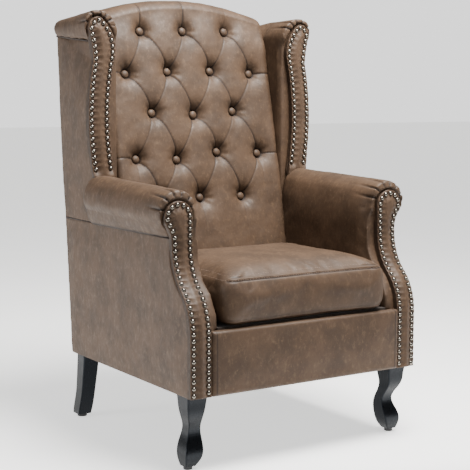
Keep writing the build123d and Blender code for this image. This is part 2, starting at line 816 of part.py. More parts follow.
with BuildPart() as glides:
    for x, y, width, diameter, shares in (
            (front_leg_x, front_leg_y, front_leg_width, front_glide_diameter, front_leg_shares),
            (rear_leg_x, rear_leg_y, rear_leg_width, rear_glide_diameter, rear_leg_shares)):
        foot = shares[-1]
        with Locations(*[(side * (x + foot[2] * width), y + foot[3] * width) for side in (-1, 1)]):
            Cylinder(diameter / 2, glide_height, align=(Align.CENTER, Align.CENTER, Align.MIN))
    chamfer(edges().group_by(Axis.Z)[0], length=glide_edge)

with BuildPart() as dust_cover:
    with BuildSketch(Plane.YZ):
        side_quad(body_bottom, frame_bottom, lambda z: apron_back, lambda z: rear_y(z, panel_stock))
    extrude(amount=frame_out, both=True)
    for x, y, width in leg_tops:
        for side in (-1, 1):
            with Locations((side * x, y, frame_bottom)):
                Box(width + 2 * fit_gap, width + 2 * fit_gap, 2 * dust_cloth + fit_gap,
                    mode=Mode.SUBTRACT)


def bored(piece, x, y):
    """The piece with a leg bolt's hole through it."""
    with BuildPart() as result:
        add(piece.part)
        with Locations((x, y, frame_bottom)):
            Cylinder((bolt_diameter + fit_gap) / 2, 2 * bolt_in_leg + fit_gap, mode=Mode.SUBTRACT)
    return result


# Nail heads along the facings
with BuildPart() as one_nail:
    domed_head(nail_diameter, nail_height)


def sweep_shape(z):
    """Setback and slope of the swept arm front at a height."""
    rise, depth = (sweep_high - sweep_low) / 2, sweep_depth / 2
    radius = (rise ** 2 + depth ** 2) / (2 * depth)
    height = min(max(z, sweep_low), sweep_high)
    below = height < sweep_low + rise
    climb = height - sweep_low if below else sweep_high - height
    setback = radius - math.sqrt(radius ** 2 - climb ** 2)
    return (setback if below else sweep_depth - setback), math.asin(climb / radius)


def nail_places(line, low, front, shape):
    """Places along a flat line, from low upwards, carried onto a front given by its shape."""
    sample_count = samples_per_nail * math.ceil(line.length / nail_pitch)
    points = [line @ (step / sample_count) for step in range(sample_count + 1)]
    spots, walked, before = [], 0, None
    for point in [point for point in points if point.Z >= low]:
        setback, slope = shape(point.Z)
        here = Vector(point.X, front + setback, point.Z)
        walked += (here - before).length if before else 0
        before = here
        if walked >= len(spots) * nail_pitch:
            outward = Vector(0, -math.cos(slope), math.sin(slope))
            spots.append(Plane(here + outward * nail_lift, x_dir=(1, 0, 0), z_dir=outward).location)
    return spots


with BuildLine(Plane.XZ) as arm_nail_line:
    arm_facing_line(nail_inset, body_bottom)
with BuildPart() as arm_nails:
    with Locations(*nail_places(arm_nail_line.wire(), body_bottom + nail_inset, front_y, sweep_shape)):
        add(one_nail.part)

with BuildLine(Plane.XZ) as wing_nail_line:
    wing_facing_line(nail_inset, facing_low)
with BuildPart() as wing_nails:
    with Locations(*nail_places(wing_nail_line.wire(), arm_top + arm_rise + nail_inset, wing_y,
                                lambda z: (0, 0))):
        add(one_nail.part)

# Hand in: one STEP per sub-part, the +X pieces mirrored to -X
singles = {
    "front_rail": front_rail, "rear_rail": rear_rail, "corner_blocks": corner_blocks,
    "back_top_rail": back_top_rail, "back_lower_rail": back_lower_rail,
    "back_webbing": back_webbing, "back_cross_webbing": back_cross_webbing,
    "seat_springs": seat_springs, "spring_clips": spring_clips, "spring_cover": spring_cover,
    "seat_deck": seat_deck, "dust_cover": dust_cover, "apron": apron,
    "inside_back": inside_back, "back_buttons": back_buttons, "back_panel": back_panel,
    "cushion_cover": cushion_cover, "cushion_core": cushion_core,
    "leg_bolts": leg_bolts, "glides": glides,
}
pairs = {
    "arm_stump": bored(arm_stump, front_leg_x, front_leg_y), "side_rail": side_rail,
    "back_post": bored(back_post, rear_leg_x, rear_leg_y),
    "arm_rail": arm_rail, "wing_post": wing_post, "wing_rail": wing_rail,
    "arm_backing": arm_backing, "wing_backing": wing_backing, "arm_pad": arm_pad,
    "arm_facing": arm_facing, "arm_nails": arm_nails, "side_panel": side_panel,
    "wing_pad": wing_pad, "wing_facing": wing_facing, "wing_nails": wing_nails,
    "wing_panel": wing_panel, "front_leg": bored(front_leg, front_leg_x, front_leg_y),
    "rear_leg": bored(rear_leg, rear_leg_x, rear_leg_y),
}
for name, piece in singles.items():
    piece.part.label = name
    export_step(piece.part, f"parts/{name}.step")
for name, right in pairs.items():
    with BuildPart() as left:
        mirror(right.part, about=Plane.YZ)
    for side, piece in (("right", right), ("left", left)):
        piece.part.label = f"{side}_{name}"
        export_step(piece.part, f"parts/{side}_{name}.step")
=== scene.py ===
"""Wingback armchair: leather, padding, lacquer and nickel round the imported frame."""

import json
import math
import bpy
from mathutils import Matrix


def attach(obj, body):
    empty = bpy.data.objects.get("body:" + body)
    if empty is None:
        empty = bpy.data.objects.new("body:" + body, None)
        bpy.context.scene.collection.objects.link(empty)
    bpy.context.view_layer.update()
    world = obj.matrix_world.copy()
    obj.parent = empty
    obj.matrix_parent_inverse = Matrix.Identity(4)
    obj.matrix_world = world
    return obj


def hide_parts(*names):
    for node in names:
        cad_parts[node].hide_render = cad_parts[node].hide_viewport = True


bl_info = {
    "name": "Wingback Armchair",
    "version": (1, 0, 0),
    "blender": (4, 5, 0),
    "location": "3D View > Sidebar > Armchair",
    "description": "Models the leather covers, legs and stage of a tufted wingback armchair",
    "category": "Add Mesh",
}

import bmesh
import bpy
import numpy as np
from bpy.props import FloatProperty, IntProperty, PointerProperty, StringProperty
from mathutils import Matrix, Vector, kdtree, noise
from mathutils.bvhtree import BVHTree

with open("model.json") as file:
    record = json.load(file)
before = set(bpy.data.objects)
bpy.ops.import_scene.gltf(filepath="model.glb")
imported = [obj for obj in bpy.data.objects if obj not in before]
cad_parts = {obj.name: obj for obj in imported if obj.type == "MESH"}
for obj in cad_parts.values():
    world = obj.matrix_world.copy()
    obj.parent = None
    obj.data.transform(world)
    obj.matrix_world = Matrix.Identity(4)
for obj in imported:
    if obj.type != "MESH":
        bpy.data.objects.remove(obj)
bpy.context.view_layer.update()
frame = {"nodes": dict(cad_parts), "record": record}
MM = 0.001
SIDES = {"right": 1, "left": -1}


class LeatherSettings(bpy.types.PropertyGroup):
    """Colours of the cover."""

    main: StringProperty(name="Leather", description="Worn middle brown", default="#4B392A")
    # The deep tone colours only random cloudy patches and dark specks; the darkening in folds is painted
    # shade, a separate colour mixed in faux_leather.
    deep: StringProperty(name="Deep tone", description="Brown in folds and dark patches", default="#291E15")
    worn: StringProperty(name="Worn tone", description="Tan that shows through where it is rubbed",
                         default="#6B5642")
    mottle: FloatProperty(name="Mottle size", description="Width of the cloudy patches",
                          default=38 * MM, unit="LENGTH")
    grain: FloatProperty(name="Grain size", description="Width of a pebble, drawn coarse enough to show",
                         default=1.6 * MM, unit="LENGTH")


class PaddingSettings(bpy.types.PropertyGroup):
    """Sizes of the padding."""

    tuft_rise: FloatProperty(name="Tuft rise", description="Height of the pillows over the buttons' plane",
                             default=27 * MM, unit="LENGTH")
    dimple: FloatProperty(name="Dimple radius", description="Radius at which a dimple is half as deep",
                          default=23 * MM, unit="LENGTH")
    facing_puff: FloatProperty(name="Facing puff", description="Rise of a facing between its nail rows",
                               default=4.5 * MM, unit="LENGTH")
    pleat: FloatProperty(name="Pleat depth", description="Depth of the gathers round an arm's head",
                         default=4.5 * MM, unit="LENGTH")
    voxel: FloatProperty(name="Voxel", description="Size of the remeshed faces",
                         default=5 * MM, unit="LENGTH")
    frames: IntProperty(name="Frames", description="Frames of each inflation", default=20)


class StageSettings(bpy.types.PropertyGroup):
    """Camera and light."""

    lens: FloatProperty(name="Lens", description="Focal length", default=91.4, unit="CAMERA")
    key: FloatProperty(name="Key light", description="Power of the overhead soft light",
                       default=192, unit="POWER")
    side: FloatProperty(name="Side light", description="Power of the low soft light on the left",
                        default=40, unit="POWER")
    sky: FloatProperty(name="Sky", description="Strength of the even light from above", default=0.3)
    horizon: FloatProperty(name="Horizon", description="Strength of the bright band at the horizon",
                           default=1.6)
    floor: StringProperty(name="Floor", description="Colour of the floor", default="#FBFBFA")
    # Painted light: the floor glows with its own emission as fill light; no lamp stands below it.
    painted_glow: FloatProperty(name="Floor glow", description="Light of the floor's own, as from lamps below it",
                        default=1.1)


def settings():
    """The three groups of settings."""
    scene = bpy.context.scene
    return scene.armchair_leather, scene.armchair_padding, scene.armchair_stage


# Materials
def linear(hex_colour):
    """sRGB hex as linear RGBA."""
    parts = [int(hex_colour[i:i + 2], 16) / 255 for i in (1, 3, 5)]
    return [p / 12.92 if p <= 0.04045 else ((p + 0.055) / 1.055) ** 2.4 for p in parts] + [1.0]


def add_node(tree, kind, values=None, links=None, **attributes):
    """Adds a shader node, sets its attributes and inputs, and links sockets into it."""
    node = tree.nodes.new(kind)
    for name, value in attributes.items():
        setattr(node, name, value)
    for name, value in (values or {}).items():
        node.inputs[name].default_value = value
    for name, socket in (links or {}).items():
        tree.links.new(socket, node.inputs[name])
    return node


def new_material(name, **constants):
    """A material with one Principled shader: (material, tree, shader)."""
    material = bpy.data.materials.new(name)
    material.use_nodes = True
    tree = material.node_tree
    shader = tree.nodes["Principled BSDF"]
    for socket, value in constants.items():
        shader.inputs[socket.replace("_", " ")].default_value = value
    return material, tree, shader


def noise_at(tree, coordinates, size, detail=4.0, roughness=0.55, stretch=(1, 1, 1)):
    """Noise whose patches are about size wide, stretched by shares along the axes."""
    mapping = add_node(tree, "ShaderNodeMapping", {"Scale": [1 / (size * s) for s in stretch]},
                       {"Vector": coordinates})
    return add_node(tree, "ShaderNodeTexNoise", {"Scale": 1.0, "Detail": detail, "Roughness": roughness},
                    {"Vector": mapping.outputs["Vector"]}).outputs["Fac"]


def mixed(tree, factor, first, second):
    """Mix of two colours, each a socket or a value."""
    node = add_node(tree, "ShaderNodeMix", data_type="RGBA")
    for index, value in ((0, factor), (6, first), (7, second)):
        if isinstance(value, bpy.types.NodeSocket):
            tree.links.new(value, node.inputs[index])
        else:
            node.inputs[index].default_value = value
    return node.outputs[2]


def stepped(tree, value, low, high, to_low=0.0, to_high=1.0):
    """A value from low to high, mapped smoothly and clamped to a new range."""
    return add_node(tree, "ShaderNodeMapRange",
                    {"From Min": low, "From Max": high, "To Min": to_low, "To Max": to_high},
                    {"Value": value}, interpolation_type="SMOOTHSTEP").outputs["Result"]


def faux_leather():
    """Printed and crushed polyurethane leather: cloudy brown, rubbed tan in random streaks and specks, soft
    satin.
    """
    leather = settings()[0]
    material, tree, shader = new_material("crushed_faux_leather", Specular_IOR_Level=0.28, IOR=1.5,
                                          Coat_Weight=0.03, Coat_Roughness=0.35, Coat_IOR=1.45)
    place = add_node(tree, "ShaderNodeTexCoord").outputs["Object"]
    clouds = noise_at(tree, place, leather.mottle * 1.6, detail=6, roughness=0.62)
    streaks = noise_at(tree, place, leather.mottle / 4, detail=6, roughness=0.68, stretch=(1, 1, 1.7))
    specks = noise_at(tree, place, leather.grain * 3.4, detail=3, roughness=0.7, stretch=(1, 1, 1.5))
    deep, main, worn = linear(leather.deep), linear(leather.main), linear(leather.worn)
    colour = mixed(tree, stepped(tree, clouds, 0.32, 0.64, 0.5, 1.0), deep, main)
    colour = mixed(tree, stepped(tree, streaks, 0.52, 0.72, 0.0, 0.4), colour, worn)
    colour = mixed(tree, stepped(tree, specks, 0.56, 0.76, 0.0, 0.38), colour, worn)
    colour = mixed(tree, stepped(tree, specks, 0.42, 0.26, 0.0, 0.35), colour, deep)
    # Painted shade: this mesh attribute darkens the leather towards near black in folds, seams, dimples and
    # recesses.
    painted_crease_shade = add_node(tree, "ShaderNodeAttribute", attribute_name="painted_crease_shade").outputs["Fac"]
    colour = mixed(tree, stepped(tree, painted_crease_shade, 0.0, 1.0, 0.0, 0.92), colour, linear("#1E1510"))
    tree.links.new(colour, shader.inputs["Base Color"])
    tree.links.new(stepped(tree, streaks, 0.3, 0.7, 0.64, 0.52), shader.inputs["Roughness"])
    pebbles = add_node(tree, "ShaderNodeTexVoronoi", {"Scale": 1 / leather.grain}, {"Vector": place},
                       feature="SMOOTH_F1").outputs["Distance"]
    wrinkles = noise_at(tree, place, leather.grain * 7, detail=6, roughness=0.6)
    fine = add_node(tree, "ShaderNodeBump", {"Strength": 0.16, "Distance": leather.grain / 4},
                    {"Height": pebbles})
    soft = add_node(tree, "ShaderNodeBump", {"Strength": 0.28, "Distance": leather.grain},
                    {"Height": wrinkles, "Normal": fine.outputs["Normal"]})
    tree.links.new(soft.outputs["Normal"], shader.inputs["Normal"])
    return material


def grained(name, size, dark, light, roughness, spread=(0.3, 0.7), detail=4.0, stretch=(1, 1, 1),
            **constants):
    """Material whose colour and roughness follow one noise: (material, tree, shader, place, noise)."""
    material, tree, shader = new_material(name, **constants)
    place = add_node(tree, "ShaderNodeTexCoord").outputs["Object"]
    pattern = noise_at(tree, place, size, detail=detail, stretch=stretch)
    tree.links.new(mixed(tree, pattern, linear(dark), linear(light)), shader.inputs["Base Color"])
    tree.links.new(stepped(tree, pattern, *spread, *roughness), shader.inputs["Roughness"])
    return material, tree, shader, place, pattern


def relief(tree, shader, height, strength, distance):
    """Bumps the shader's surface by a height."""
    bump = add_node(tree, "ShaderNodeBump", {"Strength": strength, "Distance": distance}, {"Height": height})
    tree.links.new(bump.outputs["Normal"], shader.inputs["Normal"])


def black_lacquer():
    """Stained and lacquered rubberwood: near black, faint grain under a satin coat."""
    material, tree, shader, place, grain = grained(
        "black_satin_lacquer", 2.5 * MM, "#020203", "#060608", (0.26, 0.36), stretch=(1, 1, 14),
        Specular_IOR_Level=0.16, Coat_Weight=0.1, Coat_Roughness=0.12, Coat_IOR=1.45)
    shader.inputs["Specular Tint"].default_value = (0.72, 0.84, 1, 1)
    relief(tree, shader, grain, 0.08, 0.3 * MM)
    return material


def bright_nickel():
    """Nickel-plated pressed steel: mirror bright with a little haze from handling."""
    return grained("bright_nickel", 3 * MM, "#5F5A53", "#8C867C", (0.1, 0.22), Metallic=1.0)[0]


def sawn_wood():
    """Bare sawn beech: straight yellow-brown grain, dry and matt."""
    return grained("sawn_beech", 3 * MM, "#9C7850", "#CBA878", (0.6, 0.8), (0.2, 0.8), 5, (1, 12, 12))[0]


def hidden_cloth(name, dark, light):
    """Woven or felted cloth: plain weave at about 1 mm, matt."""
    material, tree, shader, place, fluff = grained(name, 6 * MM, dark, light, (0.8, 0.95), (0.2, 0.8),
                                                   Sheen_Weight=0.15)
    weave = add_node(tree, "ShaderNodeTexVoronoi", {"Scale": 1 / (1.2 * MM)}, {"Vector": place},
                     distance="CHEBYCHEV").outputs["Distance"]
    relief(tree, shader, weave, 0.5, 0.4 * MM)
    return material


def drawn_steel():
    """Cold-drawn spring steel: grey, lightly oiled, drawn lines too fine to show."""
    return grained("drawn_steel", 8 * MM, "#5C5E62", "#85878B", (0.3, 0.45), Metallic=1.0)[0]


def moulded_plastic():
    """Injection-moulded black polypropylene: fine spark texture, low gloss."""
    return grained("moulded_black_plastic", 0.8 * MM, "#101012", "#1C1C1E", (0.45, 0.6))[0]


def sewing_thread():
    """Bonded polyester thread: tan, slightly shiny, laid in short stitches."""
    return grained("tan_thread", 1.5 * MM, "#6E5747", "#8F7460", (0.45, 0.6), Sheen_Weight=0.2)[0]


finishes = {}


def finish(name):
    """The material of a finish, made once."""
    makers = {"leather": faux_leather, "lacquer": black_lacquer, "nickel": bright_nickel,
              "wood": sawn_wood, "steel": drawn_steel, "plastic": moulded_plastic,
              "thread": sewing_thread,
              "black_cloth": lambda: hidden_cloth("black_dust_cloth", "#0E0E0F", "#1D1D1E"),
              # Decking cloth: dark brown of its own, chosen this dark partly as painted shade for the gap
              # under the cushion's front.
              "decking_and_gap_shade": lambda: hidden_cloth("brown_decking_cloth_and_gap_shade", "#241A13", "#33261C"),
              "board": lambda: hidden_cloth("pressed_board", "#6B4E33", "#8A6A48")}
    if name not in finishes:
        finishes[name] = makers[name]()
    return finishes[name]


# Mesh helpers
def new_object(name, shape, material="leather", smooth=True):
    """Object from a bmesh, at the origin, with a finish."""
    mesh = bpy.data.meshes.new(name)
    shape.to_mesh(mesh)
    shape.free()
    mesh.shade_smooth() if smooth else mesh.shade_flat()
    mesh.materials.append(finish(material))
    piece = bpy.data.objects.new(name, mesh)
    bpy.context.scene.collection.objects.link(piece)
    return piece


def cad_shape(*nodes):
    """bmesh of CAD nodes with their corners joined."""
    shape = bmesh.new()
    for node in nodes:
        shape.from_mesh(frame["nodes"][node].data)
    bmesh.ops.remove_doubles(shape, verts=shape.verts, dist=MM / 100)
    return shape


def points_of(mesh):
    """Corner positions of a mesh as an array."""
    places = np.empty(len(mesh.vertices) * 3)
    mesh.vertices.foreach_get("co", places)
    return places.reshape(-1, 3)


def normals_of(mesh):
    """Corner normals of a mesh as an array."""
    directions = np.empty(len(mesh.vertices) * 3)
    mesh.vertices.foreach_get("normal", directions)
    return directions.reshape(-1, 3)


def move_points(mesh, places):
    """Writes corner positions back."""
    mesh.vertices.foreach_set("co", places.reshape(-1))
    mesh.update()


def bake_modifiers(piece):
    """Makes the piece's mesh what its modifiers show."""
    graph = bpy.context.evaluated_depsgraph_get()
    mesh = bpy.data.meshes.new_from_object(piece.evaluated_get(graph))
    piece.modifiers.clear()
    piece.data = mesh
    mesh.shade_smooth()


def remesh(piece, voxel):
    """Even faces of about voxel size."""
    modifier = piece.modifiers.new("Even", "REMESH")
    modifier.mode = "VOXEL"
    modifier.voxel_size = voxel
    bake_modifiers(piece)


def volume_and_area(mesh):
    """Volume and surface of a closed mesh."""
    shape = bmesh.new()
    shape.from_mesh(mesh)
    found = shape.calc_volume(), sum(face.calc_area() for face in shape.faces)
    shape.free()
    return found


def refill(piece, volume):
    """Moves the surface out evenly until the piece holds a volume again."""
    now, area = volume_and_area(piece.data)
    move_points(piece.data, points_of(piece.data) + normals_of(piece.data) * (volume - now) / area)


def relax(piece, rounds):
    """Smooths the corners a few rounds."""
    shape = bmesh.new()
    shape.from_mesh(piece.data)
    for _ in range(rounds):
        bmesh.ops.smooth_vert(shape, verts=shape.verts, factor=0.5, use_axis_x=True,
                              use_axis_y=True, use_axis_z=True)
    shape.to_mesh(piece.data)
    shape.free()


def divide(piece):
    """One round of subdivision, applied."""
    modifier = piece.modifiers.new("Rounding", "SUBSURF")
    modifier.levels = modifier.render_levels = 1
    bake_modifiers(piece)


def inflate(piece, shrink, cap):
    """Draws the cover in by shrink, then blows it up as cloth, each corner moving no more than cap."""
    start = points_of(piece.data) - normals_of(piece.data) * shrink
    move_points(piece.data, start)
    cloth = piece.modifiers.new("Cloth", "CLOTH")
    for name, value in (("quality", 5), ("mass", 0.3), ("tension_stiffness", 15),
                        ("compression_stiffness", 15), ("bending_stiffness", 0.5),
                        ("use_pressure", True), ("uniform_pressure_force", 4.0)):
        setattr(cloth.settings, name, value)
    cloth.settings.effector_weights.gravity = 0
    cloth.collision_settings.use_collision = False
    cloth.point_cache.frame_end = settings()[1].frames
    for step in range(1, settings()[1].frames + 1):
        bpy.context.scene.frame_set(step)
    bake_modifiers(piece)
    bpy.context.scene.frame_set(1)
    moved = points_of(piece.data) - start
    length = np.linalg.norm(moved, axis=1, keepdims=True)
    move_points(piece.data, start + moved * np.minimum(1, cap / np.maximum(length, cap / 1000)))


def steps(value, low, high):
    """Smooth step of an array from 0 at low to 1 at high."""
    share = np.clip((value - low) / (high - low), 0, 1)
    return share * share * (3 - 2 * share)


def rolling(places, size, seed=0):
    """Smooth noise between -1 and 1 at each place, with waves of about size."""
    shift = Vector((seed, seed * 2, seed * 3))
    return np.array([noise.noise(Vector(p) / size + shift) for p in places])


def mark_painted_shade(mesh, amount):
    """Stores, from 0 to 1, how much painted shade each corner takes; the leather darkens towards near black
    there, standing in for the shade of folds, seams, dimples and recesses.
    """
    attribute = mesh.attributes.get("painted_crease_shade") or mesh.attributes.new("painted_crease_shade", "FLOAT", "POINT")
    attribute.data.foreach_set("value", np.clip(amount, 0, 1).astype(np.float32))


def centres(node):
    """Middle of each loose piece of a CAD node."""
    shape = cad_shape(node)
    left, found = set(shape.verts), []
    while left:
        reach, island = [left.pop()], []
        while reach:
            corner = reach.pop()
            island.append(corner.co.copy())
            for edge in corner.link_edges:
                other = edge.other_vert(corner)
                if other in left:
                    left.remove(other)
                    reach.append(other)
        found.append(sum(island, Vector()) / len(island))
    shape.free()
    return found


def nearest_distance(points, places):
    """Distance from each place to the nearest of the points."""
    tree = kdtree.KDTree(len(points))
    for index, point in enumerate(points):
        tree.insert(point, index)
    tree.balance()
    return np.array([tree.find(p)[2] for p in places])


def sweep(z):
    """Setback of the swept arm front at heights in millimetres."""
    rise, depth = (SWEEP_HIGH - SWEEP_LOW) / 2, ARM_SWEEP / 2
    radius = (rise ** 2 + depth ** 2) / (2 * depth)
    z = np.clip(z, SWEEP_LOW, SWEEP_HIGH)
    climb = np.where(z < SWEEP_LOW + rise, z - SWEEP_LOW, SWEEP_HIGH - z)
    setback = radius - np.sqrt(radius ** 2 - climb ** 2)
    return np.where(z < SWEEP_LOW + rise, setback, ARM_SWEEP - setback)


def swell_rim(places, behind, facing_node, low):
    """Brings the pad's front rim forward round its facing's head, which starts at a height of low."""
    shape = cad_shape(facing_node)
    tree = BVHTree.FromBMesh(shape)
    shape.free()
    apart = np.zeros(len(places))
    for index in np.flatnonzero(behind < RIM_DEPTH):
        apart[index] = tree.find_nearest(Vector(places[index]))[3] / MM
    head = steps(places[:, 2] / MM, low, low + RIM_FADE)
    rim = (1 - steps(behind, 0, RIM_DEPTH)) * steps(apart, 1.5, 8) * head
    places[:, 1] -= RIM_SWELL * rim * MM


def gathers(angle, radius, behind, pleats, turn, drift):
    """Depth, from 0 to 1, of pleats that start at angles round a head and run out behind it."""
    depth = np.zeros(len(angle))
    for middle, length in pleats:
        start = middle + turn + behind * drift * (1 if middle < 90 else -1)
        gap = (angle - start) * math.pi / 180 * radius
        width = PLEAT_WIDTH + np.clip(behind, 0, 99) * PLEAT_SPREAD
        run_out = np.exp(-(np.clip(behind, 0, 999) / length) ** 1.5)
        depth = np.maximum(depth, np.exp(-(gap / width) ** 2) * run_out)
    return depth


def cover(piece, nodes):
    """The piece rides on its body and stands for the CAD nodes, which it hides."""
    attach(piece, "cushion" if nodes[0].startswith("cushion") else "frame")
    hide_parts(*nodes)


# Places shared with the frame, in millimetres
HALF_WIDTH = 305.5
FRONT_Y = -320.0
ARM_SWEEP = 75.0
SWEEP_LOW, SWEEP_HIGH = 300.0, 480.0
ARM_BASE = 500.0
ROLL_X, ROLL_Z, ROLL_REACH, ARM_RISE = 288.0, 554.0, 328.5, 16.0
WING_FACING_Y = 119.0
WING_ROLL_X, WING_ROLL_Z, WING_ROLL_LOW = 284.0, 962.0, 925.0
FACING_THICK = 10.0
SEAT_Z = 298.0
BODY_BOTTOM = 166.0
REAR_FOOT_Y = 263.99
REAR_RAKE = math.radians(4.43)
REAR_SLOPE = math.tan(REAR_RAKE)
TUFT_RAKE = math.radians(11.5)
TUFT_FOOT_Y = 91.7
BACK_HALF = 236.0
ARCH_Z, ARCH_RADIUS = 340.0, 700.0
COLUMN_PITCH, ROW_PITCH, LOWEST_ROW_Z, ROW_COUNT = 120.0, 105.3, 548.0, 5
CUSHION_Y, CUSHION_LOW, CUSHION_EDGE = -134.0, 310.0, 100.0
CUSHION_FLAT_X, CUSHION_FLAT_Y = 215.0, 170.0

# Soft details, in millimetres
SEAM_RIDGE, SEAM_GROOVE, SEAM_GROOVE_AT = 2.6, 1.3, 3.6
PUCKERS, PUCKER_Z = 46, 392.0
STITCH_PITCH, STITCH_HALF, STITCH_RAYS = 5.5, (1.9, 0.55, 0.5), 720
CREASE_WIDTH, VALLEY_WIDTH, CREASE_SHADE = 1.8, 16.0, 1.9
BUTTON_HALF, BUTTON_PROUD = (10.3, 10.3, 6.2), 3.5
RIM_SWELL, RIM_DEPTH, RIM_FADE = 7.0, 18.0, 25.0
PLEAT_WIDTH, PLEAT_SPREAD = 2.2, 0.03
UNDER_ROLL, SEAM_SHADE = 28.0, 3.0
FACING_FOOT_Z, FACING_FOOT_DROP, EDGE_SHEET_SETBACK = 645.0, 12.0, 8.0
NAIL_SINK, NAIL_SHADE_OUT, NAIL_SHADE_IN = 1.1, 8.2, 5.4
WING_PANEL_TUCK = 6.0
APRON_SEAM_X, APRON_END_X, APRON_OVERLAP = 243.0, 220.0, 14.0

# Pleats round the heads of the arms and wings: angle where each starts, in degrees, and its length
ARM_PLEATS = ((12, 30), (48, 42), (79, 34), (107, 48), (139, 40), (168, 30))
WING_PLEATS = ((18, 26), (58, 36), (96, 30), (128, 40), (158, 34), (186, 26))

# Back sheet, in millimetres: the face's end below the arch, its lean back there, its tucked sides, and
# its way over the top and down behind
FACE_END, LEAN_HEIGHT, LEAN_DEPTH = 27.0, 75.0, 10.0
TUCK_WIDTH, TUCK_DEPTH = 18.0, 13.0
CROWN_REACH, REAR_REACH, REAR_DROP, REAR_BELOW = 42.0, 20.0, 24.0, 22.0

# Shares of the back sheet's length: up the face, then of the rest the rounding, the flat and the rear
FACE_SHARE, ROUNDING_SHARE, FLAT_SHARE, REAR_SHARE = 0.85, 0.42, 0.3, 0.28

# How far each hand-set button sits from its place in the pattern, across and up, from the lowest row
NUDGES = ((-4.5, -1), (-6, -2.5), (-5, -3.5), (4, -7), (-2, -11), (-2.5, 6), (0, 0), (1.5, 1.5), (-0.5, -3.5),
          (-2.5, 5), (-1.5, -7), (-2.5, 0), (2.5, 2.5), (1, -2.5), (-8, -5), (-6, -1), (-1.5, 1))


# Seat cushion
def make_cushion():
    """Box cushion: inflated cover, topstitched seams round its top and bottom edges."""
    padding = settings()[1]
    piece = new_object("seat_cushion", cad_shape("cushion_core"))
    volume, area = volume_and_area(piece.data)
    remesh(piece, padding.voxel)
    inflate(piece, 0.5 * MM, 5 * MM)
    relax(piece, 1)
    divide(piece)
    refill(piece, volume + area * 2.6 * MM)
    places, facing = points_of(piece.data), normals_of(piece.data)
    heights = places[:, 2] / MM
    outer = steps(np.maximum(np.abs(places[:, 0]) / MM - CUSHION_FLAT_X,
                             np.abs(places[:, 1] / MM - CUSHION_Y) - CUSHION_FLAT_Y), 0, 6)
    move = 1.1 * rolling(places, 0.09, 3) + 0.5 * rolling(places, 0.03, 4)
    fold_shade = np.zeros(len(places))
    for seam, rise in ((CUSHION_LOW + CUSHION_EDGE + 1, 1.8), (CUSHION_LOW + 10, 0.9)):
        level = heights - seam - rolling(places, 0.12, 6)
        groove = np.exp(-((np.abs(level) - SEAM_GROOVE_AT) / SEAM_GROOVE) ** 2) * outer
        move += rise * (np.exp(-(level / SEAM_RIDGE) ** 2) * outer - groove)
        # Painted shade: the leather darkens in the grooves beside each seam.
        fold_shade = np.maximum(fold_shade, groove * rise / 1.8)
    around = np.arctan2(places[:, 1] - CUSHION_Y * MM, places[:, 0])
    gather = np.cos(around * PUCKERS + 3 * rolling(places, 0.06, 9))
    move += 0.35 * gather * np.exp(-(np.abs(heights - PUCKER_Z) / 9) ** 2) * outer
    move_points(piece.data, places + facing * move[:, None] * MM)
    mark_painted_shade(piece.data, fold_shade * 0.9)
    cover(piece, ("cushion_cover", "cushion_core"))
    make_stitches(piece)


def make_stitches(piece):
    """Short thread stitches laid on both sides of the top seam."""
    tree = BVHTree.FromObject(piece, bpy.context.evaluated_depsgraph_get())
    size = Matrix.Diagonal((*(half * MM for half in STITCH_HALF), 1))
    shape = bmesh.new()
    for level in (CUSHION_LOW + CUSHION_EDGE + 7.5, CUSHION_LOW + CUSHION_EDGE - 1.5):
        path = []
        for index in range(STITCH_RAYS):
            angle = 2 * math.pi * index / STITCH_RAYS
            outward = Vector((math.cos(angle), math.sin(angle), 0))
            centre = Vector((0, CUSHION_Y, level)) * MM
            hit = tree.ray_cast(centre + outward * 0.4, -outward)
            if hit[0] is not None:
                path.append((hit[0], hit[1]))
        walked, before = 0.0, path[0][0]
        for spot, facing in path + path[:1]:
            walked += (spot - before).length
            if walked >= STITCH_PITCH * MM:
                along = (spot - before).normalized() if (spot - before).length else Vector((1, 0, 0))
                turn = Matrix([along, facing.cross(along), facing]).transposed().to_4x4()
                turn.translation = spot
                bmesh.ops.create_icosphere(shape, subdivisions=1, radius=1, matrix=turn @ size)
                walked = 0.0
            before = spot
    thread = new_object("cushion_stitches", shape, "thread")
    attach(thread, "cushion")


# Tufted back
def tuft_v(z):
    """Distance up the raked face to a height."""
    return (z - SEAT_Z) / math.cos(TUFT_RAKE)


def button_spots():
    """Buttons on the raked face: across, up, row and column."""
    spots = []
    for row in range(ROW_COUNT):
        for column in ((-1, 0, 1) if row % 2 == 0 else (-1.5, -0.5, 0.5, 1.5)):
            aside, up = NUDGES[len(spots)]
            across, height = column * COLUMN_PITCH + aside, tuft_v(LOWEST_ROW_Z) + row * ROW_PITCH + up
            spots.append((across, height, row, column))
    return spots


def crease_lines():
    """Creases of the face: ends, depth at the middle, whether the far end fades out, and bow."""
    spots, lines = button_spots(), []
    for ax, av, arow, acolumn in spots:
        for bx, bv, brow, bcolumn in spots:
            if brow == arow + 1 and abs(acolumn - bcolumn) == 0.5:
                leans = bx < ax
                lines.append((ax, av, bx, bv, 1.2 if leans else 0.7, False, 9 if leans else 3))
        if arow == 0:
            lines.append((ax, av, ax * 1.02, av - 130, 0.3, True, 1))
        if arow == ROW_COUNT - 1:
            lines.append((ax, av, ax * 1.04, av + 150, 1.1 if ax < 0 else 0.3, True, 3))
        if abs(acolumn) == 1.5:
            lines.append((ax, av, math.copysign(BACK_HALF + 20, ax), av, 0.5, False, 2))
            if arow == 1:
                lines.append((ax, av, ax * 1.04, av - 150, 0.3, True, 2))
    return lines


